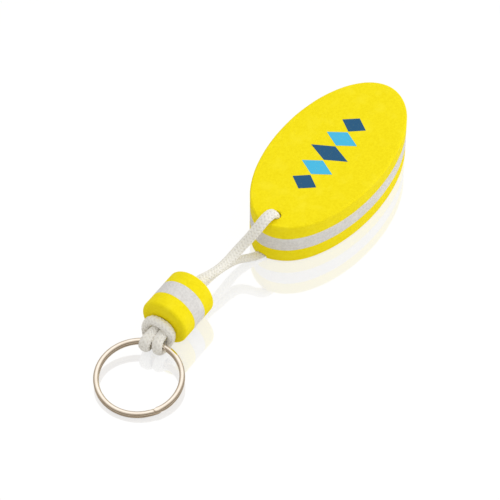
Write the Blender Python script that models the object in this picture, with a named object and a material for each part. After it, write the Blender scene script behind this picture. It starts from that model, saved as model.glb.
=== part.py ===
"""Floating keychain: an oval foam float, a foam bead and a split ring on one loop of cord.

Frame: +X runs along the length, from the split ring to the float's far tip, and +Z is up.
The float, the bead and the near side of the ring lie on z = 0, and the origin is under
the middle of the whole length. Lengths are in metres.
"""
import math

import bmesh
import bpy
from mathutils import Matrix, Vector

MM = 0.001

# Foam: the float and the bead are cut from sheet of three bonded layers
LAYER_THICKNESS = 4.8 * MM
FOAM_SEGMENTS = 96
FILLET_STEPS = 4

# Float
FLOAT_LENGTH = 64.6 * MM
FLOAT_WIDTH = 33.7 * MM
FLOAT_EDGE_RADIUS = 0.6 * MM
FLOAT_HOLE_RADIUS = 1.85 * MM
FLOAT_HOLE_TO_TIP = 4.2 * MM
FLOAT_HOLE_X = 6.6 * MM

# Bead
BEAD_RADIUS = 7.25 * MM
BEAD_BORE_RADIUS = 3.0 * MM
BEAD_EDGE_RADIUS = 1.0 * MM
BEAD_SEGMENTS = 64

# Cord
CORD_RADIUS = 1.15 * MM
CORD_CLEARANCE = 0.3 * MM
CORD_MAX_TURN = math.radians(21.0)
CORD_MAX_STEP = 4.5 * MM
CHANNEL_HEADING = math.radians(158.6)

# Split ring, two turns of flat wire
RING_OUTER_RADIUS = 12.5 * MM
WIRE_WIDTH = 1.5 * MM
WIRE_THICKNESS = 0.85 * MM
WIRE_CORNER_RADIUS = 0.22 * MM
WIRE_CORNER_STEPS = 2
TURN_GAP = 0.03 * MM
CROSSOVER_HEADING = math.radians(240.0)
CROSSOVER_ANGLE = math.radians(26.0)
WIRE_END_GAP = math.radians(1.5)
WIRE_STEP = math.radians(5.0)

# Hitch: where the wire runs through the cord, and the ring's heading from there
HITCH_X = -43.2 * MM
HITCH_Y = 7.2 * MM
HITCH_Z = 3.8 * MM
HITCH_TO_BEAD = 4.7 * MM
RING_HEADING = math.radians(14.5)

# Colours as linear values
YELLOW = (0.93, 0.78, 0.01)
WHITE = (0.80, 0.79, 0.78)
CORD_WHITE = (0.80, 0.77, 0.72)
STEEL = (0.72, 0.70, 0.67)

# The cord's route in millimetres, chosen by hand
CORD_ROUTE = [
    # up through the float's hole and over its tip
    (6.6, 0.0, 7.2), (6.6, 0.0, 10.5), (6.55, 0.0, 13.1), (6.25, 0.1, 14.55),
    (5.5, 0.25, 15.7), (4.2, 0.45, 16.1), (2.7, 0.75, 15.9), (1.1, 1.15, 15.0),
    (-0.5, 1.8, 13.45), (-2.3, 2.75, 11.35), (-4.3, 3.75, 9.5), (-6.8, 4.6, 8.2),
    (-10.2, 5.25, 7.65), (-13.8, 5.8, 7.8), (-17.0, 6.5, 8.2),
    # through the bead, the pair of strands giving a quarter turn
    (-20.5, 7.05, 8.45), (-24.5, 7.2, 8.5), (-28.0, 7.75, 8.4), (-31.5, 8.2, 8.05),
    (-35.0, 8.45, 7.5), (-38.5, 8.5, 6.6),
    # the first strand over the wire, round it and up behind it
    (-40.0, 8.5, 6.4), (-41.8, 8.55, 6.38), (-43.67, 8.65, 6.42), (-45.65, 8.9, 5.65),
    (-46.45, 9.1, 3.8), (-45.7, 9.15, 1.95), (-43.85, 9.2, 1.22), (-42.0, 9.65, 1.75),
    (-41.5, 10.5, 3.6), (-41.15, 11.05, 5.5),
    # the arch across both strands
    (-40.6, 10.85, 7.3), (-40.1, 9.7, 8.65), (-40.0, 7.2, 9.05), (-40.0, 4.7, 8.65),
    (-39.95, 3.35, 7.2),
    # the second strand, down behind the wire and round it
    (-39.87, 3.25, 5.4), (-39.95, 3.85, 3.5), (-40.85, 4.75, 1.75), (-42.85, 5.2, 1.22),
    (-44.75, 5.25, 1.95), (-45.5, 5.3, 3.8), (-44.75, 5.5, 5.65), (-42.9, 5.75, 6.4),
    (-41.2, 5.88, 6.35), (-39.9, 5.9, 6.4),
    # back through the bead
    (-38.5, 5.9, 6.6), (-35.0, 5.95, 7.0), (-31.5, 6.2, 6.45), (-28.0, 6.65, 6.1),
    (-24.5, 7.2, 6.0), (-20.5, 7.25, 6.0),
    # down under the float's tip and up into the hole
    (-17.0, 7.15, 5.9), (-13.8, 6.95, 5.65), (-10.2, 6.45, 4.8), (-7.0, 5.8, 3.7),
    (-4.6, 5.1, 2.8), (-2.2, 4.0, 2.1), (-0.2, 2.85, 1.65), (1.4, 2.04, 1.48),
    (3.2, 1.33, 1.45), (4.9, 0.67, 1.48), (6.1, 0.22, 2.1), (6.6, 0.0, 3.6),
    (6.6, 0.0, 5.2), (6.6, 0.0, 6.9),
]
CURVE_SAMPLES = 16


def clear_scene():
    for obj in list(bpy.data.objects):
        bpy.data.objects.remove(obj, do_unlink=True)


def make_material(name, colour, roughness, metallic=0.0):
    material = bpy.data.materials.new(name)
    material.use_nodes = True
    shader = material.node_tree.nodes["Principled BSDF"]
    shader.inputs["Base Color"].default_value = (*colour, 1.0)
    shader.inputs["Roughness"].default_value = roughness
    shader.inputs["Metallic"].default_value = metallic
    return material


def add_mesh_object(name, bm, material, location=(0.0, 0.0, 0.0), rotation=None):
    mesh = bpy.data.meshes.new(name)
    bmesh.ops.recalc_face_normals(bm, faces=bm.faces)
    bm.to_mesh(mesh)
    bm.free()
    mesh.shade_smooth()
    mesh.set_sharp_from_angle(angle=math.radians(35.0))
    obj = bpy.data.objects.new(name, mesh)
    bpy.context.scene.collection.objects.link(obj)
    place = Matrix.Translation(location)
    obj.matrix_world = place @ rotation.to_4x4() if rotation else place
    if material:
        mesh.materials.append(material)
    return obj


def cut(target, cutter):
    cutter.hide_render = True
    cutter.display_type = "WIRE"
    boolean = target.modifiers.new("cut", "BOOLEAN")
    boolean.operation = "DIFFERENCE"
    boolean.solver = "EXACT"
    boolean.object = cutter


def fillet_levels(low, high, low_radius, high_radius):
    """Heights with their insets, bottom to top, of a wall with rounded edges."""
    levels = []
    for step in range(FILLET_STEPS + 1 if low_radius else 1):
        angle = math.pi / 2 * step / FILLET_STEPS
        levels.append((low + low_radius * (1 - math.sin(angle)), low_radius * (1 - math.cos(angle))))
    levels.reverse()
    for step in range(FILLET_STEPS + 1 if high_radius else 1):
        angle = math.pi / 2 * step / FILLET_STEPS
        levels.append((high - high_radius * (1 - math.sin(angle)), high_radius * (1 - math.cos(angle))))
    return levels


def bridge_rings(bm, rings, closed=False):
    """Join rings of vertices, in order, with quads."""
    pairs = list(zip(rings, rings[1:]))
    if closed:
        pairs.append((rings[-1], rings[0]))
    for first, second in pairs:
        count = len(first)
        for i in range(count):
            j = (i + 1) % count
            bm.faces.new((first[i], first[j], second[j], second[i]))


def oval_layer(name, low, high, low_radius, high_radius, material):
    """One layer of the float: an ellipse drawn up, with its outer edges rounded."""
    bm = bmesh.new()
    half_length, half_width = FLOAT_LENGTH / 2, FLOAT_WIDTH / 2
    rings = []
    for height, inset in fillet_levels(low, high, low_radius, high_radius):
        ring = []
        for i in range(FOAM_SEGMENTS):
            angle = 2 * math.pi * i / FOAM_SEGMENTS
            point = Vector((half_length * math.cos(angle), half_width * math.sin(angle), height))
            outward = Vector((half_width * math.cos(angle), half_length * math.sin(angle), 0.0))
            ring.append(bm.verts.new(point - inset * outward.normalized()))
        rings.append(ring)
    bridge_rings(bm, rings)
    bm.faces.new(list(reversed(rings[0])))
    bm.faces.new(rings[-1])
    centre_x = FLOAT_HOLE_X - FLOAT_HOLE_TO_TIP + half_length
    return add_mesh_object(name, bm, material, (centre_x, 0.0, 0.0))


def hole_cutter():
    """Upright cylinder for the cord's hole through all three layers."""
    bm = bmesh.new()
    height = 3 * LAYER_THICKNESS
    bmesh.ops.create_cone(bm, cap_ends=True, segments=32, radius1=FLOAT_HOLE_RADIUS,
                          radius2=FLOAT_HOLE_RADIUS, depth=2 * height)
    return add_mesh_object("float_hole_cutter", bm, None, (FLOAT_HOLE_X, 0.0, height / 2))


def channel_cutter():
    """Round-topped channel that the lower strand has pressed into the foam under the tip."""
    bm = bmesh.new()
    half_width = CORD_RADIUS + CORD_CLEARANCE
    crown_steps = 10
    profile = [(-half_width, -half_width)]
    for step in range(crown_steps + 1):
        angle = math.pi - math.pi * step / crown_steps
        crown_centre = CORD_RADIUS + CORD_CLEARANCE
        profile.append((half_width * math.cos(angle), crown_centre + half_width * math.sin(angle)))
    profile.append((half_width, -half_width))
    rings = []
    for distance in (0.0, 3 * FLOAT_HOLE_TO_TIP):
        rings.append([bm.verts.new((distance, across, up)) for across, up in profile])
    bridge_rings(bm, rings)
    bm.faces.new(list(reversed(rings[0])))
    bm.faces.new(rings[1])
    turn = Matrix.Rotation(CHANNEL_HEADING, 3, "Z")
    return add_mesh_object("cord_channel_cutter", bm, None, (FLOAT_HOLE_X, 0.0, 0.0), turn)


def build_float(yellow, white):
    thickness = LAYER_THICKNESS
    edge = min(FLOAT_EDGE_RADIUS, 0.8 * thickness)
    bottom = oval_layer("float_bottom_layer", 0.0, thickness, edge, 0.0, yellow)
    middle = oval_layer("float_middle_layer", thickness, 2 * thickness, 0.0, 0.0, white)
    top = oval_layer("float_top_layer", 2 * thickness, 3 * thickness, 0.0, edge, yellow)
    cutter = hole_cutter()
    for layer in (bottom, middle, top):
        cut(layer, cutter)
    cut(bottom, channel_cutter())


def bead_slice(name, low, high, low_radius, high_radius, material):
    """One slice of the bead, turned about the bore's axis, its local X."""
    bm = bmesh.new()
    profile = [(low, BEAD_BORE_RADIUS)]
    for along, inset in fillet_levels(low, high, low_radius, high_radius):
        profile.append((along, BEAD_RADIUS - inset))
    profile.append((high, BEAD_BORE_RADIUS))
    rings = []
    for i in range(BEAD_SEGMENTS):
        angle = 2 * math.pi * i / BEAD_SEGMENTS
        c, s = math.cos(angle), math.sin(angle)
        rings.append([bm.verts.new((along, radius * c, radius * s)) for along, radius in profile])
    bridge_rings(bm, rings, closed=True)
    front_x = HITCH_X + HITCH_TO_BEAD
    return add_mesh_object(name, bm, material, (front_x, HITCH_Y, BEAD_RADIUS))


def build_bead(yellow, white):
    thickness = LAYER_THICKNESS
    edge = min(BEAD_EDGE_RADIUS, 0.8 * thickness)
    bead_slice("bead_front_layer", 0.0, thickness, edge, 0.0, yellow)
    bead_slice("bead_middle_layer", thickness, 2 * thickness, 0.0, 0.0, white)
    bead_slice("bead_rear_layer", 2 * thickness, 3 * thickness, 0.0, edge, yellow)


def wire_section():
    """The flat wire's section as (outward, up), anticlockwise, with rounded corners."""
    radius = min(WIRE_CORNER_RADIUS, 0.45 * WIRE_THICKNESS)
    half_width, half_height = WIRE_WIDTH / 2 - radius, WIRE_THICKNESS / 2 - radius
    points = []
    corners = ((1, 1, 0.0), (-1, 1, 0.5), (-1, -1, 1.0), (1, -1, 1.5))
    for side, level, start in corners:
        for step in range(WIRE_CORNER_STEPS + 1):
            angle = math.pi * (start + 0.5 * step / WIRE_CORNER_STEPS)
            points.append((side * half_width + radius * math.cos(angle),
                           level * half_height + radius * math.sin(angle)))
    return points


def ring_tilt():
    """Tilt that brings the ring's near side down onto z = 0 from the hitch."""
    stack_height = 2 * WIRE_THICKNESS + TURN_GAP
    radius = min(WIRE_CORNER_RADIUS, 0.45 * WIRE_THICKNESS)
    reach = 2 * RING_OUTER_RADIUS - WIRE_WIDTH / 2 - radius
    half_height = stack_height / 2 - radius
    drop = HITCH_Z - radius
    return math.asin(drop / math.hypot(reach, half_height)) - math.atan2(half_height, reach)


def build_split_ring(steel):
    """Two turns of flat wire that step from the upper level to the lower at the crossover."""
    bm = bmesh.new()
    middle_radius = RING_OUTER_RADIUS - WIRE_WIDTH / 2
    level = (WIRE_THICKNESS + TURN_GAP) / 2
    start = CROSSOVER_HEADING - RING_HEADING + CROSSOVER_ANGLE / 2
    length = 4 * math.pi - CROSSOVER_ANGLE - 2 * WIRE_END_GAP
    count = round(length / WIRE_STEP)
    section = wire_section()
    rings = []
    for i in range(count + 1):
        travelled = WIRE_END_GAP + length * i / count
        into_step = (travelled - (2 * math.pi - CROSSOVER_ANGLE)) / CROSSOVER_ANGLE
        into_step = min(1.0, max(0.0, into_step))
        height = level * math.cos(math.pi * into_step)
        angle = start + travelled
        outward = Vector((math.cos(angle), math.sin(angle), 0.0))
        centre = middle_radius * outward + Vector((0.0, 0.0, height))
        rings.append([bm.verts.new(centre + out * outward + Vector((0.0, 0.0, up)))
                      for out, up in section])
    bridge_rings(bm, rings)
    bm.faces.new(list(reversed(rings[0])))
    bm.faces.new(rings[-1])
    # the mesh's own origin is at the hitch, where the ring swings
    bmesh.ops.translate(bm, verts=bm.verts, vec=(-middle_radius, 0.0, 0.0))
    turn = Matrix.Rotation(RING_HEADING, 3, "Z") @ Matrix.Rotation(-ring_tilt(), 3, "Y")
    add_mesh_object("split_ring", bm, steel, (HITCH_X, HITCH_Y, HITCH_Z), turn)


def smooth_curve(points, samples):
    """Centripetal Catmull-Rom curve through the points, as a dense list."""
    first = 2 * points[0] - points[1]
    last = 2 * points[-1] - points[-2]
    track = [first, *points, last]
    curve = []
    for p0, p1, p2, p3 in zip(track, track[1:], track[2:], track[3:]):
        t1 = (p1 - p0).length ** 0.5
        t2 = t1 + (p2 - p1).length ** 0.5
        t3 = t2 + (p3 - p2).length ** 0.5
        for i in range(samples):
            t = t1 + (t2 - t1) * i / samples
            a1 = p0 * ((t1 - t) / t1) + p1 * (t / t1)
            a2 = p1 * ((t2 - t) / (t2 - t1)) + p2 * ((t - t1) / (t2 - t1))
            a3 = p2 * ((t3 - t) / (t3 - t2)) + p3 * ((t - t2) / (t3 - t2))
            b1 = a1 * ((t2 - t) / t2) + a2 * (t / t2)
            b2 = a2 * ((t3 - t) / (t3 - t1)) + a3 * ((t - t1) / (t3 - t1))
            curve.append(b1 * ((t2 - t) / (t2 - t1)) + b2 * ((t - t1) / (t2 - t1)))
    curve.append(points[-1].copy())
    return curve


def thin_out(curve):
    """Keep a point where the curve has turned or run on far enough since the last one."""
    kept = [curve[0]]
    heading = (curve[1] - curve[0]).normalized()
    run = 0.0
    for before, here, after in zip(curve, curve[1:], curve[2:]):
        run += (here - before).length
        tangent = (after - here).normalized()
        if tangent.angle(heading) > CORD_MAX_TURN or run > CORD_MAX_STEP:
            kept.append(here)
            heading = tangent
            run = 0.0
    if (curve[-1] - kept[-1]).length < CORD_RADIUS:
        kept.pop()
    kept.append(curve[-1])
    return kept


def build_cord(white):
    route = [MM * Vector(point) for point in CORD_ROUTE]
    points = thin_out(smooth_curve(route, CURVE_SAMPLES))
    curve = bpy.data.curves.new("cord", "CURVE")
    curve.dimensions = "3D"
    curve.bevel_depth = CORD_RADIUS
    curve.bevel_resolution = 2
    curve.use_fill_caps = True
    curve.materials.append(white)
    spline = curve.splines.new("POLY")
    spline.points.add(len(points) - 1)
    for target, point in zip(spline.points, points):
        target.co = (*point, 1.0)
    cord = bpy.data.objects.new("cord", curve)
    bpy.context.scene.collection.objects.link(cord)


def main():
    clear_scene()
    yellow = make_material("yellow_foam", YELLOW, 0.75)
    white = make_material("white_foam", WHITE, 0.8)
    cord_white = make_material("cord_white", CORD_WHITE, 0.85)
    steel = make_material("nickel_steel", STEEL, 0.2, 1.0)
    build_float(yellow, white)
    build_bead(yellow, white)
    build_split_ring(steel)
    build_cord(cord_white)


main()
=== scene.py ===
"""Dressed scene of the floating keychain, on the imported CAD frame. Lengths are in metres."""

import math

import bpy
import numpy as np
from mathutils import Matrix, Vector, noise


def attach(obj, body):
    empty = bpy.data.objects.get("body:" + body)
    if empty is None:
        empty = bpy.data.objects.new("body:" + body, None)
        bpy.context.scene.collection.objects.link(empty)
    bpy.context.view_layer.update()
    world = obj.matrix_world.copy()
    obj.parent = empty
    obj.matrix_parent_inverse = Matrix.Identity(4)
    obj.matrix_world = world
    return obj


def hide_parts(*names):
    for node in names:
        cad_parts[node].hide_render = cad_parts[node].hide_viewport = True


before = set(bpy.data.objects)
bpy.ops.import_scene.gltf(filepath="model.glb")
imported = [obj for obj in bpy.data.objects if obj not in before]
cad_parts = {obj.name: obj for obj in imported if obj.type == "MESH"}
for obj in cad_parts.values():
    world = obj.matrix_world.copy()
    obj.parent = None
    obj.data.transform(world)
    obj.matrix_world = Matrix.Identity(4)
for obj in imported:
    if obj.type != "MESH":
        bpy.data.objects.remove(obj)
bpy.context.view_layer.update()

MM = 0.001

# Camera, fitted to the photograph
CAMERA_ELEVATION = math.radians(49.1)
CAMERA_HEADING = math.atan2(0.552, 0.834)
CAMERA_DISTANCE = 0.8
CAMERA_TARGET = Vector((2.1, 5.6, 0.0)) * MM
CAMERA_LENS = 203.2
SENSOR_WIDTH = 36.0
CLIP_NEAR = 0.01
CLIP_FAR = 20.0

# Floor, a hair below the pieces: a lit white that glows, with a faint mirror in it; metal
# sees it duller
FLOOR_REACH = 0.9
FLOOR_DROP = 0.02 * MM
FLOOR_WHITE = (0.93, 0.93, 0.93, 1.0)
FLOOR_GLOW = 0.92
FLOOR_MIRROR = 0.2
FLOOR_MIRROR_ROUGHNESS = 0.06
FLOOR_SEEN_BY_METAL = (0.58, 0.51, 0.42, 1.0)

# Lamps: name, place, size and watts, each aimed at the middle of the frame
LAMPS = [
    ("key_lamp", (0.75, -0.15, 1.1), 1.4, 4.3),
    ("fill_lamp", (0.65, -1.05, 0.5), 1.2, 4.3),
]

# Sky: its light, between two heights of the view, and the softbox that the metal shows in its
# place. The glow round the softbox and its edge each lie between two cosines of the angle to it
SKY_LOW = (0.52, 0.51, 0.49)
SKY_HIGH = (0.80, 0.80, 0.80)
SKY_HEIGHTS = (-0.1, 0.5)
SOFTBOX_DIRECTION = (0.417, 0.276, 0.866)
SOFTBOX_GLOW = (0.35, 0.85)
SOFTBOX_EDGE = (0.86, 0.97)
SOFTBOX_FAR = (0.24, 0.205, 0.165)
SOFTBOX_RIM = (0.66, 0.60, 0.53)
SOFTBOX_FACE = (1.15, 1.13, 1.10)

# Colours: foam as base, cells in shade and worn; cord as the painted shade in its furrows,
# crown and fuzz; nickel as dull and bright; ink as full and thin
YELLOW_FOAM = ((0.945, 0.79, 0.009), (0.89, 0.73, 0.004), (0.955, 0.805, 0.018))
WHITE_FOAM = ((0.755, 0.735, 0.71), (0.66, 0.64, 0.615), (0.785, 0.77, 0.75))
CORD_WHITE = ((0.80, 0.76, 0.68), (0.90, 0.875, 0.805), (0.925, 0.90, 0.835))
NICKEL = ((0.88, 0.80, 0.70), (0.95, 0.88, 0.79))
NAVY_INK = ((0.012, 0.095, 0.21), (0.10, 0.20, 0.14))
SKY_INK = ((0.06, 0.50, 0.78), (0.30, 0.60, 0.40))

# Grain of the materials, in features a metre
FOAM_CELLS = 2300.0
FOAM_GRAIN = 1500.0
FOAM_CLOUDS = 240.0
CORD_FUZZ = 2600.0
NICKEL_RUBS = 420.0
NICKEL_LINES = (260.0, 5200.0, 5200.0)
INK_COVER = 1900.0

# Foam, sizes and places as in the CAD
LAYER = 4.8 * MM
FLOAT_HALF_LENGTH = 32.3 * MM
FLOAT_HALF_WIDTH = 16.85 * MM
FLOAT_EDGE = 0.6 * MM
FLOAT_CENTRE_X = 34.7 * MM
HOLE_X = 6.6 * MM
BEAD_RADIUS = 7.25 * MM
BEAD_EDGE = 1.0 * MM
BEAD_FRONT_X = -38.5 * MM
BEAD_Y = 7.2 * MM

# Foam, the bond lines and the holes, which the cord fills more closely than in the CAD
BOND_EDGE = 0.07 * MM
HOLE_RADIUS = 1.6 * MM
HOLE_RIM = 0.3 * MM
HOLE_FOOT = 0.25 * MM
HOLE_BOND = 0.05 * MM
BEAD_BORE = 2.65 * MM
BEAD_BORE_LIP = 0.15 * MM
BEAD_MOUTH_FLATNESS = 0.8
BEAD_REAR_FLARE = 0.85 * MM

# Foam, pressed and swollen by the cord: beside the hole, along the edge and round the tip
HOLE_PRESS_X = 4.4 * MM
HOLE_PRESS_REACH = (1.6 * MM, 2.4 * MM)
HOLE_PRESS_DEPTH = 0.16 * MM
EDGE_SAG = 0.03 * MM
EDGE_SAG_REACH = 1.6 * MM
CHANNEL_HALF_WIDTH = 1.6 * MM
CHANNEL_SPRING = 0.5 * MM
CHANNEL_SPRING_STEEPNESS = 6
CHANNEL_RISE = 0.9 * MM
CHANNEL_HEADING = math.radians(158.6)
TIP_SWELL = 1.0 * MM
TIP_SWELL_AT = math.radians(169.0)
TIP_SWELL_SPREAD = math.radians(14.0)
TIP_SWELL_HEIGHT = 10.5 * MM
TIP_SWELL_REACH = 1.6 * MM

# Foam, unevenness: how much (of the radius, on the bead), over what length, and which of
# the places in the noise, which lie these strides apart
TOP_WAVER = (0.035 * MM, 4 * MM, 1)
WALL_WAVER = (0.05 * MM, 5 * MM, 2)
BEAD_WAVER = (0.008, 4 * MM, 3)
WAVER_STRIDES = (7.3, 3.1, 5.7)

# Foam, how finely it is drawn
OUTLINE_SAMPLES = 7200
OUTLINE_POINTS = 480
FACE_ROWS = 25
BOND_SHARES = (0.1, 0.5, 0.9)
WALL_ROWS = 5
HOLE_ROWS = 3
RIM_STEPS = 4
EDGE_STEPS = 10
BOND_STEPS = 3
BEAD_POINTS = 192
BEAD_EDGE_STEPS = 8
BEAD_BORE_ROWS = 4
BEAD_FACE_ROWS = 5
BEAD_WALL_ROWS = 6

# Split ring, as in the CAD apart from its section, an ellipse that is a little square, and
# its ground ends
RING_RADIUS = 12.5 * MM
WIRE_WIDTH = 1.5 * MM
WIRE_THICKNESS = 0.85 * MM
WIRE_SQUARENESS = 2.05
WIRE_TIP = 0.14 * MM
WIRE_TIP_WIDTH = 0.1
WIRE_SIDES = 40
WIRE_STATIONS = 760
TURN_GAP = 0.03 * MM
CROSSOVER_HEADING = math.radians(240.0)
CROSSOVER_ANGLE = math.radians(26.0)
WIRE_END_GAP = math.radians(1.5)
HITCH = Vector((-43.2, 7.2, 3.8)) * MM
RING_HEADING = math.radians(14.5)
RING_TILT = math.radians(7.03)

# The cord's route in millimetres, with the direction across its broad side and
# half its breadth and thickness
ROUTE = [
    ((6.6, 0.0, 7.2), (0, 1, 0), 1.15, 1.05),
    ((6.6, 0.0, 10.5), (0, 1, 0), 1.2, 1.05),
    ((6.55, 0.0, 13.1), (0, 1, 0), 1.4, 1.05),
    ((6.25, 0.1, 14.55), (0.1, 1, 0), 1.6, 1.05),
    ((5.5, 0.25, 15.65), (0.2, 1, 0), 1.68, 1.05),
    ((4.2, 0.45, 16.0), (0.25, 1, 0), 1.7, 1.05),
    ((2.7, 0.75, 15.8), (0.3, 1, 0), 1.7, 1.05),
    ((1.1, 1.15, 14.9), (0.3, 1, 0), 1.7, 1.05),
    ((-0.5, 1.8, 13.4), (0.4, 1, 0), 1.7, 1.05),
    ((-2.3, 2.75, 11.35), (0.45, 1, 0), 1.68, 1.05),
    ((-4.3, 3.75, 9.5), (0.4, 1, 0), 1.62, 1.05),
    ((-6.8, 4.5, 8.1), (0.3, 1, 0), 1.6, 1.05),
    ((-10.2, 4.95, 7.4), (0.15, 1, 0), 1.5, 1.05),
    ((-13.8, 5.4, 7.45), (0.15, 1, 0), 1.4, 1.05),
    ((-17.0, 6.1, 7.85), (0.1, 1, 0), 1.35, 1.05),
    ((-20.5, 6.9, 8.3), (0.05, 1, 0), 1.6, 1.05),
    ((-24.5, 7.2, 8.4), (0, 1, 0), 1.6, 1.05),
    ((-28.0, 7.75, 8.25), (0, 1, 0.2), 1.3, 1.05),
    ((-31.5, 8.2, 8.05), (0, 1, 0.3), 1.2, 1.1),
    ((-35.0, 8.36, 8.15), (0, 1, 0.2), 1.15, 1.08),
    ((-37.1, 8.36, 8.2), (0, 1, 0), 1.12, 1.05),
    ((-38.5, 8.42, 7.3), (0, 1, 0), 1.12, 1.05),
    ((-39.9, 8.5, 6.6), (0, 1, 0), 1.2, 1.05),
    ((-41.8, 8.48, 6.25), (-0.05, 1, 0), 1.42, 1.05),
    ((-43.5, 8.5, 6.05), (-0.15, 1, 0), 1.52, 1.0),
    ((-45.05, 8.62, 5.4), (-0.2, 1, 0), 1.6, 0.93),
    ((-45.65, 8.75, 3.85), (-0.2, 1, 0), 1.6, 0.9),
    ((-45.1, 8.9, 2.25), (-0.2, 1, 0), 1.5, 0.93),
    ((-43.7, 9.15, 1.4), (-0.3, 1, 0), 1.4, 1.0),
    ((-42.1, 9.8, 1.8), (-0.7, 0.9, 0.2), 1.25, 1.1),
    ((-41.5, 10.7, 3.6), (-1, 0.4, 0.1), 1.25, 1.1),
    ((-41.15, 11.25, 5.5), (-1, 0, 0.2), 1.25, 1.12),
    ((-40.6, 11.05, 7.1), (-1, 0, 0), 1.27, 1.2),
    ((-39.98, 9.9, 8.42), (-1, 0, -0.2), 1.36, 1.28),
    ((-39.88, 7.6, 8.9), (-1, 0, -0.2), 1.38, 1.3),
    ((-39.9, 5.2, 8.42), (-1, 0, -0.2), 1.36, 1.28),
    ((-39.95, 3.85, 7.0), (-1, 0, 0), 1.27, 1.2),
    ((-39.87, 3.65, 5.4), (-1, 0, 0), 1.2, 1.12),
    ((-39.95, 4.05, 3.5), (-0.9, 0.4, 0), 1.2, 1.12),
    ((-40.85, 4.75, 1.85), (-0.4, 1, 0.1), 1.25, 1.08),
    ((-42.6, 5.1, 1.4), (-0.25, 1, 0), 1.35, 1.0),
    ((-44.1, 5.1, 2.25), (-0.2, 1, 0), 1.42, 0.93),
    ((-44.65, 5.15, 3.85), (-0.2, 1, 0), 1.45, 0.9),
    ((-44.05, 5.42, 5.4), (-0.2, 1, 0), 1.52, 0.93),
    ((-42.7, 5.72, 6.05), (-0.15, 1, 0), 1.52, 1.0),
    ((-41.2, 5.72, 6.25), (0, 1, 0), 1.5, 1.05),
    ((-39.9, 5.8, 6.6), (0, 1, 0), 1.4, 1.05),
    ((-38.5, 6.02, 7.3), (0, 1, 0), 1.12, 1.05),
    ((-37.1, 6.06, 8.1), (0, 1, 0), 1.12, 1.05),
    ((-35.0, 6.05, 7.7), (0, 1, 0.2), 1.15, 1.08),
    ((-31.5, 6.2, 6.6), (0, 1, 0.3), 1.2, 1.1),
    ((-28.0, 6.65, 6.2), (0, 1, 0.2), 1.3, 1.05),
    ((-24.5, 7.2, 6.1), (0, 1, 0), 1.55, 1.05),
    ((-20.5, 7.0, 6.0), (0, 1, 0), 1.5, 1.05),
    ((-17.0, 6.75, 5.75), (0, 1, 0), 1.3, 1.05),
    ((-13.8, 6.45, 5.35), (0, 1, 0), 1.25, 1.05),
    ((-10.2, 6.1, 4.5), (0, 1, 0), 1.25, 1.05),
    ((-7.0, 5.7, 3.5), (0.2, 1, 0), 1.25, 1.05),
    ((-4.6, 5.1, 2.6), (0.3, 1, 0), 1.2, 1.0),
    ((-2.2, 4.0, 1.65), (0.4, 1, 0), 1.3, 0.88),
    ((-0.2, 2.95, 1.0), (0.4, 1, 0), 1.38, 0.74),
    ((1.4, 2.2, 0.72), (0.4, 1, 0), 1.42, 0.62),
    ((3.2, 1.4, 0.68), (0.4, 1, 0), 1.42, 0.58),
    ((4.9, 0.67, 0.72), (0.4, 1, 0), 1.3, 0.62),
    ((6.1, 0.22, 1.45), (0.2, 1, 0), 1.15, 0.9),
    ((6.58, 0.0, 3.4), (0, 1, 0), 1.12, 1.05),
    ((6.6, 0.0, 5.2), (0, 1, 0), 1.12, 1.05),
    ((6.6, 0.0, 6.9), (0, 1, 0), 1.12, 1.05),
]
CORD_STEP = 0.15 * MM
CORD_SIDES = 72
# the closed ends take a low crown, so they are coloured with the painted shade of the furrows
CORD_END_CROWN = 0.2
CURVE_SAMPLES = 24

# The braid: yarns each way round the cord, the length of a cell, and its relief, which is
# made up of each yarn's round and its weave over and under, and lies about a middle height;
# the filaments are the bands of light and dark along a yarn
BRAID_CARRIERS = 9
BRAID_CELL = 1.05 * MM
BRAID_RELIEF = 0.24 * MM
BRAID_MIDDLE = 0.75
YARN_ROUND = 0.6
YARN_WEAVE = 0.34
YARN_LIFT = 0.06
WEAVE_STEEPNESS = 1.5
YARN_FILAMENTS = 1.6

# The print: a row of diamonds, smaller towards both ends
PRINT_LIFT = 0.03 * MM
DIAMONDS_EACH_WAY = 2
DIAMOND_PITCH = 6.6 * MM
DIAMOND_HALF_LENGTH = 3.1 * MM
DIAMOND_HALF_WIDTH = 6.2 * MM
DIAMOND_SHRINK = 1.1 * MM


def node_material(name):
    """A new material; returns it, its node tree and the shader in it."""
    material = bpy.data.materials.new(name)
    material.use_nodes = True
    tree = material.node_tree
    return material, tree, tree.nodes["Principled BSDF"]


def add(tree, kind, values=(), **attributes):
    """A node with its attributes and some unlinked inputs set."""
    node = tree.nodes.new(kind)
    for key, value in attributes.items():
        setattr(node, key, value)
    for key, value in dict(values).items():
        node.inputs[key].default_value = value
    return node


def mix_colour(tree, factor, first, second):
    """Mix of two colours, each one a value or a socket."""
    node = add(tree, "ShaderNodeMix", data_type="RGBA")
    tree.links.new(factor, node.inputs["Factor"])
    for socket, value in ((node.inputs[6], first), (node.inputs[7], second)):
        if isinstance(value, bpy.types.NodeSocket):
            tree.links.new(value, socket)
        else:
            socket.default_value = (*value, 1.0)
    return node.outputs[2]


def mix_shader(tree, factor, first, second):
    """Mix of two shaders by a value or a socket."""
    node = add(tree, "ShaderNodeMixShader")
    if isinstance(factor, bpy.types.NodeSocket):
        tree.links.new(factor, node.inputs[0])
    else:
        node.inputs[0].default_value = factor
    tree.links.new(first, node.inputs[1])
    tree.links.new(second, node.inputs[2])
    return node.outputs[0]


def ramp(tree, source, low, high, to_low=0.0, to_high=1.0):
    """Map a value from low..high to another range, clamped."""
    node = add(tree, "ShaderNodeMapRange",
               {"From Min": low, "From Max": high, "To Min": to_low, "To Max": to_high})
    tree.links.new(source, node.inputs["Value"])
    return node.outputs["Result"]


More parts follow.
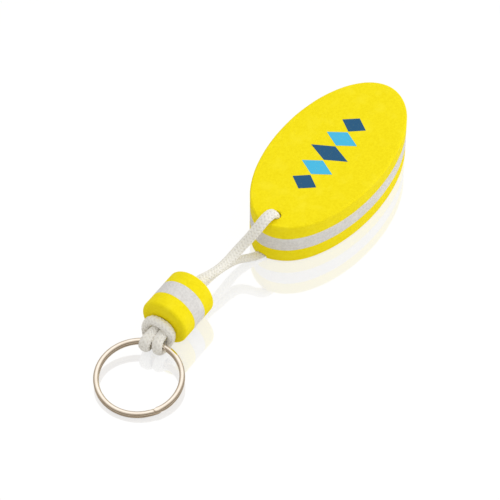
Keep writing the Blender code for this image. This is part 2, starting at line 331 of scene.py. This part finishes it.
def noise_value(tree, vector, scale, detail=2.0, roughness=0.5):
    """Soft noise over a vector, about 0.5."""
    node = add(tree, "ShaderNodeTexNoise", {"Scale": scale, "Detail": detail, "Roughness": roughness})
    tree.links.new(vector, node.inputs["Vector"])
    return node.outputs["Fac"]


def scaled(tree, vector, factors):
    """A vector stretched along its three axes."""
    node = add(tree, "ShaderNodeMapping")
    node.inputs["Scale"].default_value = factors
    tree.links.new(vector, node.inputs["Vector"])
    return node.outputs["Vector"]


def bump(tree, height, distance, strength, normal=None):
    """A normal that shows a height, over another normal where there is one."""
    node = add(tree, "ShaderNodeBump", {"Distance": distance, "Strength": strength})
    tree.links.new(height, node.inputs["Height"])
    if normal:
        tree.links.new(normal, node.inputs["Normal"])
    return node.outputs["Normal"]


def foam_material(name, base, cell_shade, worn):
    """Closed-cell foam: fine cells and pores in colour and relief, with faint scuffs."""
    material, tree, shader = node_material(name)
    place = add(tree, "ShaderNodeTexCoord").outputs["Object"]
    cells = add(tree, "ShaderNodeTexVoronoi", {"Scale": FOAM_CELLS, "Randomness": 1.0})
    tree.links.new(place, cells.inputs["Vector"])
    grain = noise_value(tree, place, FOAM_GRAIN, 3.0, 0.6)
    cloud = noise_value(tree, place, FOAM_CLOUDS)
    pit = ramp(tree, cells.outputs["Distance"], 0.12, 0.42)
    colour = mix_colour(tree, ramp(tree, grain, 0.36, 0.62), cell_shade, base)
    colour = mix_colour(tree, ramp(tree, cloud, 0.52, 0.78), colour, worn)
    tree.links.new(colour, shader.inputs["Base Color"])
    tree.links.new(ramp(tree, grain, 0.0, 1.0, 0.62, 0.82), shader.inputs["Roughness"])
    normal = bump(tree, pit, 0.03 * MM, 0.5)
    normal = bump(tree, grain, 0.08 * MM, 0.5, normal)
    tree.links.new(normal, shader.inputs["Normal"])
    shader.inputs["Specular IOR Level"].default_value = 0.1
    return material


def cord_material(painted_furrow_shade, crown_colour, fuzz_colour):
    """White braid with painted shade: yarns coloured lighter on their crowns and darker down in the
    furrows, with fine filaments.
    """
    material, tree, shader = node_material("braided_cord")
    place = add(tree, "ShaderNodeTexCoord").outputs["Object"]
    crown = add(tree, "ShaderNodeAttribute", attribute_name="crown").outputs["Fac"]
    yarn = add(tree, "ShaderNodeAttribute", attribute_name="yarn").outputs["Vector"]
    filament = add(tree, "ShaderNodeTexWave", {"Scale": YARN_FILAMENTS, "Distortion": 0.6, "Detail": 1.0})
    tree.links.new(yarn, filament.inputs["Vector"])
    fuzz = noise_value(tree, place, CORD_FUZZ)
    # painted shade: the colour runs from the dark of the furrows up to the lighter crowns, by the
    # relief's height
    colour = mix_colour(tree, ramp(tree, crown, 0.3, 0.85), painted_furrow_shade, crown_colour)
    colour = mix_colour(tree, ramp(tree, fuzz, 0.5, 0.72), colour, fuzz_colour)
    tree.links.new(colour, shader.inputs["Base Color"])
    normal = bump(tree, filament.outputs["Fac"], 0.04 * MM, 0.35)
    normal = bump(tree, fuzz, 0.05 * MM, 0.35, normal)
    tree.links.new(normal, shader.inputs["Normal"])
    shader.inputs["Roughness"].default_value = 0.72
    shader.inputs["Sheen Weight"].default_value = 0.25
    shader.inputs["Sheen Roughness"].default_value = 0.4
    shader.inputs["Specular IOR Level"].default_value = 0.35
    return material


def steel_material(dull, bright):
    """Bright nickel plate with fine drawing lines along the wire and a few rubbed spots."""
    material, tree, shader = node_material("nickel_plate")
    place = add(tree, "ShaderNodeTexCoord").outputs["Object"]
    along = add(tree, "ShaderNodeAttribute", attribute_name="along").outputs["Vector"]
    lines = noise_value(tree, scaled(tree, along, NICKEL_LINES), 1.0)
    rubbed = noise_value(tree, place, NICKEL_RUBS, 3.0, 0.6)
    colour = mix_colour(tree, ramp(tree, rubbed, 0.35, 0.7), dull, bright)
    tree.links.new(colour, shader.inputs["Base Color"])
    tree.links.new(ramp(tree, rubbed, 0.35, 0.7, 0.06, 0.12), shader.inputs["Roughness"])
    tree.links.new(bump(tree, lines, 0.012 * MM, 0.3), shader.inputs["Normal"])
    shader.inputs["Metallic"].default_value = 1.0
    return material


def ink_material(name, full, thin):
    """Screen print on foam: the colour is broken a little where the cells took less ink."""
    material, tree, shader = node_material(name)
    place = add(tree, "ShaderNodeTexCoord").outputs["Object"]
    cover = noise_value(tree, place, INK_COVER, 2.0, 0.6)
    colour = mix_colour(tree, ramp(tree, cover, 0.2, 0.36), thin, full)
    tree.links.new(colour, shader.inputs["Base Color"])
    tree.links.new(bump(tree, cover, 0.06 * MM, 0.5), shader.inputs["Normal"])
    shader.inputs["Roughness"].default_value = 0.6
    shader.inputs["Specular IOR Level"].default_value = 0.3
    return material


def add_piece(name, points, faces, material, body, nodes=(), attributes=()):
    """A smooth mesh piece that rides on a body; attributes are per point."""
    mesh = bpy.data.meshes.new(name)
    mesh.from_pydata(np.asarray(points, float).tolist(), [], faces)
    for key, values in dict(attributes).items():
        values = np.asarray(values, np.float32)
        if values.ndim == 1:
            mesh.attributes.new(key, "FLOAT", "POINT").data.foreach_set("value", values)
        else:
            mesh.attributes.new(key, "FLOAT_VECTOR", "POINT").data.foreach_set("vector", values.ravel())
    mesh.shade_smooth()
    mesh.materials.append(material)
    piece = bpy.data.objects.new(name, mesh)
    bpy.context.scene.collection.objects.link(piece)
    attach(piece, body)
    if nodes:
        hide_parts(*nodes)
    return piece


def grid_faces(rows, columns, close_rows):
    """Quads between rows of points; the columns always close round."""
    faces = []
    for r in range(rows if close_rows else rows - 1):
        a, b = r * columns, (r + 1) % rows * columns
        for c in range(columns):
            d = (c + 1) % columns
            faces.append((a + c, a + d, b + d, b + c))
    return faces


def between(first, last, count):
    """Even steps from first to last, without these two."""
    return np.linspace(first, last, count + 2)[1:-1]


def quarter(radius, steps):
    """(along, inset) of a quarter round, from the start of the rounding to its end."""
    return [(radius * math.sin(a), radius * (1 - math.cos(a)))
            for a in (math.pi / 2 * k / steps for k in range(steps + 1))]


def waver(points, amount, size, seed):
    """Small smooth offsets, one number for each point."""
    shift = Vector([seed * stride for stride in WAVER_STRIDES])
    return amount * np.array([noise.noise(Vector(p) / size + shift) for p in points])


def make_camera():
    data = bpy.data.cameras.new("camera")
    data.lens, data.sensor_width = CAMERA_LENS, SENSOR_WIDTH
    data.clip_start, data.clip_end = CLIP_NEAR, CLIP_FAR
    camera = bpy.data.objects.new("camera", data)
    bpy.context.scene.collection.objects.link(camera)
    flat = math.cos(CAMERA_ELEVATION)
    ahead = Vector((flat * math.cos(CAMERA_HEADING), flat * math.sin(CAMERA_HEADING),
                    -math.sin(CAMERA_ELEVATION)))
    camera.location = CAMERA_TARGET - CAMERA_DISTANCE * ahead
    camera.rotation_mode = "QUATERNION"
    camera.rotation_quaternion = ahead.to_track_quat("-Z", "Y")
    bpy.context.scene.camera = camera


def smooth_curve(points, samples):
    """Centripetal Catmull-Rom curve; the points may carry more than three values."""
    track = np.vstack([2 * points[0] - points[1], points, 2 * points[-1] - points[-2]])
    curve = []
    for p0, p1, p2, p3 in zip(track, track[1:], track[2:], track[3:]):
        t1 = np.linalg.norm(p1[:3] - p0[:3]) ** 0.5
        t2 = t1 + np.linalg.norm(p2[:3] - p1[:3]) ** 0.5
        t3 = t2 + np.linalg.norm(p3[:3] - p2[:3]) ** 0.5
        for i in range(samples):
            t = t1 + (t2 - t1) * i / samples
            a1 = p0 * ((t1 - t) / t1) + p1 * (t / t1)
            a2 = p1 * ((t2 - t) / (t2 - t1)) + p2 * ((t - t1) / (t2 - t1))
            a3 = p2 * ((t3 - t) / (t3 - t2)) + p3 * ((t - t2) / (t3 - t2))
            b1 = a1 * ((t2 - t) / t2) + a2 * (t / t2)
            b2 = a2 * ((t3 - t) / (t3 - t1)) + a3 * ((t - t1) / (t3 - t1))
            curve.append(b1 * ((t2 - t) / (t2 - t1)) + b2 * ((t - t1) / (t2 - t1)))
    curve.append(points[-1])
    return np.array(curve)


def braid_height(around, along):
    """Relief of a 2-over-2 braid, 0 to 1, and the place on the upper yarn; both inputs are in cells."""
    # a and b count the yarns that wind each way, and fa and fb are the places across one yarn
    a, b = around + along, around - along
    ia, ib = np.floor(a), np.floor(b)
    fa, fb = a - ia, b - ib
    across_a = np.sqrt(np.clip(1 - (2 * fa - 1) ** 2, 0, 1))
    across_b = np.sqrt(np.clip(1 - (2 * fb - 1) ** 2, 0, 1))
    wave_a = np.cos(np.pi / 2 * (b + ia) - np.pi / 4)
    wave_b = -np.cos(np.pi / 2 * (ib + a) - np.pi / 4)
    high_a = YARN_ROUND * across_a + YARN_WEAVE * np.clip(WEAVE_STEEPNESS * wave_a, -1, 1)
    high_b = YARN_ROUND * across_b + YARN_WEAVE * np.clip(WEAVE_STEEPNESS * wave_b, -1, 1)
    yarn = np.where((high_a >= high_b)[..., None], np.stack([fa, b], -1), np.stack([fb, a], -1))
    return np.clip(np.maximum(high_a, high_b) + YARN_LIFT, 0, 1), yarn


def cord_line():
    """Even stations along the cord: their runs, middles, directions across and up, half sizes."""
    keys = np.array([[*place, *across, *halves] for place, across, *halves in ROUTE], float)
    keys[:, :3] *= MM
    keys[:, 6:] *= MM
    dense = smooth_curve(keys, CURVE_SAMPLES)
    run = np.concatenate([[0], np.cumsum(np.linalg.norm(np.diff(dense[:, :3], axis=0), axis=1))])
    stations = np.linspace(0, run[-1], int(run[-1] / CORD_STEP))
    line = np.stack([np.interp(stations, run, column) for column in dense.T], 1)
    centre = line[:, :3]
    tangent = np.gradient(centre, axis=0)
    tangent /= np.linalg.norm(tangent, axis=1)[:, None]
    across = line[:, 3:6] - (line[:, 3:6] * tangent).sum(1)[:, None] * tangent
    across /= np.linalg.norm(across, axis=1)[:, None]
    return stations, centre, across, np.cross(tangent, across), line[:, 6], line[:, 7]


def make_cord():
    """The whole loop as one flattened tube with the braid's relief, and its two ends closed."""
    stations, centre, across, up, half_breadth, half_thickness = cord_line()
    count = len(stations)
    turn = np.linspace(0, 1, CORD_SIDES, endpoint=False)
    height, yarn = braid_height(np.broadcast_to(turn * BRAID_CARRIERS, (count, CORD_SIDES)),
                                np.broadcast_to((stations / BRAID_CELL)[:, None], (count, CORD_SIDES)))
    swell = BRAID_RELIEF * (height - BRAID_MIDDLE)
    sideways = (half_breadth[:, None] + swell) * np.cos(2 * np.pi * turn)
    upwards = (half_thickness[:, None] + swell) * np.sin(2 * np.pi * turn)
    points = (centre[:, None, :] + sideways[..., None] * across[:, None, :]
              + upwards[..., None] * up[:, None, :])
    faces = grid_faces(count, CORD_SIDES, False)
    total = count * CORD_SIDES
    points = np.vstack([points.reshape(-1, 3), centre[0], centre[-1]])
    for k in range(CORD_SIDES):
        n = (k + 1) % CORD_SIDES
        faces.append((total, n, k))
        faces.append((total + 1, total - CORD_SIDES + k, total - CORD_SIDES + n))
    crown = np.concatenate([height.ravel(), [CORD_END_CROWN, CORD_END_CROWN]])
    yarn = np.vstack([np.concatenate([yarn.reshape(-1, 2), np.zeros((total, 1))], 1), np.zeros((2, 3))])
    cord = add_piece("cord_braid", points, faces, cord_material(*CORD_WHITE), "float_and_cord",
                     ["cord"], {"crown": crown, "yarn": yarn})


def floor_material():
    """White floor with a faint mirror for the camera, a plain one for light and a dull one for metal."""
    material, tree, shader = node_material("floor")
    shader.inputs["Base Color"].default_value = FLOOR_WHITE
    shader.inputs["Roughness"].default_value = 0.5
    rays = add(tree, "ShaderNodeLightPath").outputs
    glow = add(tree, "ShaderNodeEmission", {"Color": (1, 1, 1, 1), "Strength": 1.0}).outputs[0]
    mirror = add(tree, "ShaderNodeBsdfGlossy",
                 {"Color": (1, 1, 1, 1), "Roughness": FLOOR_MIRROR_ROUGHNESS}).outputs[0]
    dull = add(tree, "ShaderNodeBsdfDiffuse", {"Color": FLOOR_SEEN_BY_METAL}).outputs[0]
    plain = shader.outputs[0]
    seen = mix_shader(tree, FLOOR_MIRROR, mix_shader(tree, FLOOR_GLOW, plain, glow), mirror)
    around = mix_shader(tree, rays["Is Glossy Ray"], plain, dull)
    final = mix_shader(tree, rays["Is Camera Ray"], around, seen)
    tree.links.new(final, tree.nodes["Material Output"].inputs["Surface"])
    return material


def make_floor():
    mesh = bpy.data.meshes.new("floor")
    corners = [(-FLOOR_REACH, -FLOOR_REACH, 0), (FLOOR_REACH, -FLOOR_REACH, 0),
               (FLOOR_REACH, FLOOR_REACH, 0), (-FLOOR_REACH, FLOOR_REACH, 0)]
    mesh.from_pydata(corners, [], [(0, 1, 2, 3)])
    mesh.materials.append(floor_material())
    floor = bpy.data.objects.new("floor", mesh)
    bpy.context.scene.collection.objects.link(floor)
    floor.location.z = -FLOOR_DROP


def make_world():
    """White for the camera, a pale sky for light, and a warm room with a softbox for metal."""
    world = bpy.data.worlds.new("studio")
    bpy.context.scene.world = world
    world.use_nodes = True
    tree = world.node_tree
    rays = add(tree, "ShaderNodeLightPath").outputs
    place = add(tree, "ShaderNodeTexCoord").outputs["Generated"]
    split = add(tree, "ShaderNodeSeparateXYZ")
    tree.links.new(place, split.inputs[0])
    sky = mix_colour(tree, ramp(tree, split.outputs["Z"], *SKY_HEIGHTS), SKY_LOW, SKY_HIGH)
    facing = add(tree, "ShaderNodeVectorMath", {1: SOFTBOX_DIRECTION}, operation="DOT_PRODUCT")
    tree.links.new(place, facing.inputs[0])
    near = facing.outputs["Value"]
    softbox = mix_colour(tree, ramp(tree, near, *SOFTBOX_GLOW), SOFTBOX_FAR, SOFTBOX_RIM)
    softbox = mix_colour(tree, ramp(tree, near, *SOFTBOX_EDGE), softbox, SOFTBOX_FACE)
    sky = mix_colour(tree, rays["Is Glossy Ray"], sky, softbox)
    seen = mix_colour(tree, rays["Is Camera Ray"], sky, (1.0, 1.0, 1.0))
    tree.links.new(seen, tree.nodes["Background"].inputs["Color"])


def make_lamps():
    """Round soft lamps, which shiny metal doesn't show."""
    for name, place, size, watts in LAMPS:
        data = bpy.data.lights.new(name, "AREA")
        data.shape, data.size, data.energy = "DISK", size, watts
        lamp = bpy.data.objects.new(name, data)
        bpy.context.scene.collection.objects.link(lamp)
        lamp.location = place
        lamp.rotation_mode = "QUATERNION"
        lamp.rotation_quaternion = (-Vector(place)).to_track_quat("-Z", "Y")
        lamp.visible_glossy = False


def float_outline():
    """Rays from the hole to the float's outline: outline points, outward normals and headings."""
    dense = np.linspace(0, 2 * np.pi, OUTLINE_SAMPLES + 1)
    x = FLOAT_CENTRE_X + FLOAT_HALF_LENGTH * np.cos(dense)
    y = FLOAT_HALF_WIDTH * np.sin(dense)
    arc = np.concatenate([[0], np.cumsum(np.hypot(np.diff(x), np.diff(y)))])
    swing = np.unwrap(np.arctan2(y, x - HOLE_X))
    # half by length along the outline and half by angle at the hole, so both are drawn evenly
    mixed = 0.5 * arc / arc[-1] + 0.5 * (swing - swing[0]) / (2 * np.pi)
    t = np.interp(np.linspace(0, 1, OUTLINE_POINTS, endpoint=False), mixed, dense)
    outline = np.stack([FLOAT_CENTRE_X + FLOAT_HALF_LENGTH * np.cos(t), FLOAT_HALF_WIDTH * np.sin(t)], 1)
    normal = np.stack([FLOAT_HALF_WIDTH * np.cos(t), FLOAT_HALF_LENGTH * np.sin(t)], 1)
    normal /= np.linalg.norm(normal, axis=1)[:, None]
    heading = outline - (HOLE_X, 0)
    heading /= np.linalg.norm(heading, axis=1)[:, None]
    return outline, normal, heading


def channel_height(x, y):
    """How high the cord's channel reaches over a point under the float, 0 outside it."""
    along = (x - HOLE_X) * math.cos(CHANNEL_HEADING) + y * math.sin(CHANNEL_HEADING)
    across = -(x - HOLE_X) * math.sin(CHANNEL_HEADING) + y * math.cos(CHANNEL_HEADING)
    share = np.clip(1 - (across / CHANNEL_HALF_WIDTH) ** 2, 0, 1)
    height = (CHANNEL_SPRING * np.minimum(1, CHANNEL_SPRING_STEEPNESS * share)
              + CHANNEL_RISE * np.sqrt(share))
    return np.where((along > 0) & (share > 0), height, 0.0)


def tip_swell(outline, plan, z):
    """How far the foam bulges outward at the tip, where the cord squeezes it."""
    turn = np.arctan2(outline[:, 1] / FLOAT_HALF_WIDTH,
                      (outline[:, 0] - FLOAT_CENTRE_X) / FLOAT_HALF_LENGTH)
    away = (turn - TIP_SWELL_AT + math.pi) % (2 * math.pi) - math.pi
    share = np.exp(-(away / TIP_SWELL_SPREAD) ** 2)
    near = np.exp(-np.linalg.norm(outline - plan, axis=1) / TIP_SWELL_REACH)
    return TIP_SWELL * share * near * max(0.0, 1 - z / TIP_SWELL_HEIGHT)


def float_rows(low, high, low_edge, high_edge):
    """A float layer's rows (plan, height, kind): up the hole, out, down the wall and back below."""
    outline, normal, heading = float_outline()
    hole = np.array([HOLE_X, 0.0])
    topmost, lowest = high_edge > BOND_EDGE, low_edge > BOND_EDGE
    rim = HOLE_RIM if topmost else HOLE_BOND
    foot = HOLE_FOOT if lowest else HOLE_BOND
    rows = []

    def at_hole(radius, z):
        rows.append((hole + radius * heading, z, "hole"))

    def flat(z, radius, inset, shares, kind):
        inner, outer = hole + radius * heading, outline - inset * normal
        for f in shares:
            rows.append((inner + f * (outer - inner), z, kind))

    def at_wall(inset, z):
        rows.append((outline - inset * normal, z, "wall"))

    for rise, inset in reversed(quarter(foot, RIM_STEPS)):
        at_hole(HOLE_RADIUS + inset, low + foot - rise)
    for f in between(0, 1, HOLE_ROWS):
        at_hole(HOLE_RADIUS, low + foot + f * (high - low - foot - rim))
    for rise, inset in quarter(rim, RIM_STEPS):
        at_hole(HOLE_RADIUS + inset, high - rim + rise)
    shares = between(0, 1, FACE_ROWS) if topmost else BOND_SHARES
    flat(high, HOLE_RADIUS + rim, high_edge, shares, "top")
    for rise, inset in reversed(quarter(high_edge, EDGE_STEPS if topmost else BOND_STEPS)):
        at_wall(inset, high - high_edge + rise)
    for f in between(0, 1, WALL_ROWS):
        at_wall(0, high - high_edge - f * (high - high_edge - low - low_edge))
    for rise, inset in quarter(low_edge, EDGE_STEPS if lowest else BOND_STEPS):
        at_wall(inset, low + low_edge - rise)
    shares = between(1, 0, FACE_ROWS) if lowest else BOND_SHARES[::-1]
    flat(low, HOLE_RADIUS + foot, low_edge, shares, "below")
    return rows


def float_layer(name, low, high, low_edge, high_edge, material, slot, node):
    """A layer of the float as one closed surface, pressed and swollen where the cord lies."""
    outline, normal, _ = float_outline()
    rows = float_rows(low, high, low_edge, high_edge)
    points = []
    for plan, z, kind in rows:
        height = np.full(len(plan), float(z))
        if low_edge > BOND_EDGE:
            rise = channel_height(plan[:, 0], plan[:, 1])
            height = rise + height * (high - rise) / high
        row = np.column_stack([plan + tip_swell(outline, plan, z)[:, None] * normal, height])
        if kind == "top" and high_edge > BOND_EDGE:
            reach_x, reach_y = HOLE_PRESS_REACH
            press = np.exp(-(((plan[:, 0] - HOLE_PRESS_X) / reach_x) ** 2 + (plan[:, 1] / reach_y) ** 2))
            sag = np.exp(-np.linalg.norm(outline - plan, axis=1) / EDGE_SAG_REACH)
            row[:, 2] += waver(row, *TOP_WAVER) - EDGE_SAG * sag - HOLE_PRESS_DEPTH * press
        if kind == "wall":
            row[:, :2] += waver(row, *WALL_WAVER)[:, None] * normal
        points.append(row)
    return add_piece(name, np.vstack(points), grid_faces(len(rows), len(outline), True), material,
                     "float_and_cord", [node])


def bead_profile(low, high, low_edge, high_edge):
    """(along, radius) of a slice of the bead: back along the bore, out, to the front, and in again."""
    lip = BEAD_BORE_LIP
    # the rear mouth opens like a funnel, so the bead slides over the spread strands
    mouth = BEAD_BORE + (BEAD_REAR_FLARE if high_edge > BOND_EDGE else 0)
    front, rear = BEAD_RADIUS - low_edge, BEAD_RADIUS - high_edge
    front_wall, rear_wall = low + low_edge, high - high_edge
    profile = [(low + lip - rise, BEAD_BORE + inset) for rise, inset in reversed(quarter(lip, RIM_STEPS))]
    profile += [(low + f * (high - low), BEAD_BORE + f * f * (mouth - BEAD_BORE))
                for f in between(0, 1, BEAD_BORE_ROWS)]
    profile += [(high - lip + rise, mouth + inset) for rise, inset in quarter(lip, RIM_STEPS)]
    profile += [(high, mouth + lip + f * (rear - mouth - lip)) for f in between(0, 1, BEAD_FACE_ROWS)]
    profile += [(rear_wall + rise, BEAD_RADIUS - inset)
                for rise, inset in reversed(quarter(high_edge, BEAD_EDGE_STEPS))]
    profile += [(rear_wall + f * (front_wall - rear_wall), BEAD_RADIUS)
                for f in between(0, 1, BEAD_WALL_ROWS)]
    profile += [(front_wall - rise, BEAD_RADIUS - inset)
                for rise, inset in quarter(low_edge, BEAD_EDGE_STEPS)]
    profile += [(low, front + f * (BEAD_BORE + lip - front)) for f in between(0, 1, BEAD_FACE_ROWS)]
    return profile


def bead_layer(name, low, high, low_edge, high_edge, material, slot, node):
    """A slice of the bead, turned about its bore."""
    turn = np.linspace(0, 2 * np.pi, BEAD_POINTS, endpoint=False)
    profile = bead_profile(low, high, low_edge, high_edge)
    points = []
    for along, radius in profile:
        ring = np.column_stack([np.full(len(turn), BEAD_FRONT_X + along),
                                radius * np.cos(turn), radius * np.sin(turn)])
        if radius > BEAD_BORE + BEAD_BORE_LIP:
            ring[:, 1:] *= 1 + waver(ring, *BEAD_WAVER)[:, None]
        else:
            # two strands side by side draw the front mouth flat
            ring[:, 2] *= 1 - (1 - BEAD_MOUTH_FLATNESS) * max(0.0, 1 - along / LAYER)
        points.append(ring + (0, BEAD_Y, BEAD_RADIUS))
    return add_piece(name, np.vstack(points), grid_faces(len(profile), len(turn), True), material,
                     "bead", [node])


def make_layers(make_layer, thing, places, edge, foams):
    """Layers bonded one on another, of each foam by turns, with the outer edges rounded."""
    last = len(places) - 1
    for k, place in enumerate(places):
        name = f"{thing}_{place}"
        slot, foam = foams[k % len(foams)]
        piece = make_layer(name, k * LAYER, (k + 1) * LAYER, edge if k == 0 else BOND_EDGE,
                           edge if k == last else BOND_EDGE, foam, slot, f"{name}_layer")


def make_ring():
    """Two turns of flat wire that step from the upper level to the lower at the crossover."""
    middle = RING_RADIUS - WIRE_WIDTH / 2
    level = (WIRE_THICKNESS + TURN_GAP) / 2
    start = CROSSOVER_HEADING - RING_HEADING + CROSSOVER_ANGLE / 2
    length = 4 * math.pi - CROSSOVER_ANGLE - 2 * WIRE_END_GAP
    a = np.linspace(0, 2 * np.pi, WIRE_SIDES, endpoint=False)
    c, s = np.cos(a), np.sin(a)
    section = np.stack([WIRE_WIDTH / 2 * np.sign(c) * np.abs(c) ** (2 / WIRE_SQUARENESS),
                        WIRE_THICKNESS / 2 * np.sign(s) * np.abs(s) ** (2 / WIRE_SQUARENESS)], 1)
    # each end is ground to a wedge that runs on against the crossing wire, with a round tip
    steepest = math.acos(1 - (WIRE_TIP + TURN_GAP) / level) / math.pi
    tip = (1 - steepest) * CROSSOVER_ANGLE + WIRE_END_GAP
    travel = np.linspace(-tip, length + tip, WIRE_STATIONS)
    points, along = [], []
    for run in travel:
        into = (WIRE_END_GAP + run - 2 * math.pi + CROSSOVER_ANGLE) / CROSSOVER_ANGLE
        height = level * math.cos(math.pi * min(1.0, max(0.0, into)))
        thick, wide = WIRE_THICKNESS, 1.0
        beyond = max(-run, run - length) - WIRE_END_GAP
        if beyond > 0:
            thick = level * (1 + math.cos(math.pi * beyond / CROSSOVER_ANGLE)) - TURN_GAP
            thick = min(WIRE_THICKNESS, thick)
            height += math.copysign((WIRE_THICKNESS - thick) / 2, height)
            left = min(1.0, (tip + min(run, length - run)) * middle / WIRE_WIDTH)
            wide = max(WIRE_TIP_WIDTH, math.sqrt(1 - (1 - left) ** 2))
        angle = start + WIRE_END_GAP + run
        out = np.array([math.cos(angle), math.sin(angle), 0.0])
        ring = (middle + section[:, 0] * wide)[:, None] * out
        ring[:, 2] += height + section[:, 1] * thick / WIRE_THICKNESS
        points.append(ring)
        along.append(np.column_stack([np.full(WIRE_SIDES, run * middle), section]))
    points = np.vstack(points) - (middle, 0, 0)
    turn = Matrix.Rotation(RING_HEADING, 3, "Z") @ Matrix.Rotation(-RING_TILT, 3, "Y")
    points = points @ np.array(turn).T + np.array(HITCH)
    faces = grid_faces(WIRE_STATIONS, WIRE_SIDES, False)
    faces.append(tuple(range(WIRE_SIDES))[::-1])
    faces.append(tuple(range(len(points) - WIRE_SIDES, len(points))))
    add_piece("ring_wire", points, faces, steel_material(*NICKEL), "split_ring", ["split_ring"],
              {"along": np.vstack(along)})


def make_print():
    """A plain row of diamonds, printed on the float's top in two inks by turns."""
    inks = [ink_material("ink_navy", *NAVY_INK), ink_material("ink_sky", *SKY_INK)]
    height = 3 * LAYER + PRINT_LIFT
    for turn, name in enumerate(("print_navy", "print_sky")):
        points, faces = [], []
        for k in range(turn - DIAMONDS_EACH_WAY, DIAMONDS_EACH_WAY + 1, 2):
            x = FLOAT_CENTRE_X + k * DIAMOND_PITCH
            half_width = DIAMOND_HALF_WIDTH - DIAMOND_SHRINK * abs(k)
            base = len(points)
            points += [(x + DIAMOND_HALF_LENGTH, 0, height), (x, half_width, height),
                       (x - DIAMOND_HALF_LENGTH, 0, height), (x, -half_width, height)]
            faces.append((base, base + 1, base + 2, base + 3))
        add_piece(name, points, faces, inks[turn], "float_and_cord")


make_camera()
make_cord()
make_floor()
make_world()
make_lamps()
foams = [(slot, foam_material(slot, *colours))
         for slot, colours in (("yellow_foam", YELLOW_FOAM), ("white_foam", WHITE_FOAM))]
make_layers(float_layer, "float", ("bottom", "middle", "top"), FLOAT_EDGE, foams)
make_layers(bead_layer, "bead", ("front", "middle", "rear"), BEAD_EDGE, foams)
make_ring()
make_print()
bpy.context.scene.view_settings.view_transform = "Standard"
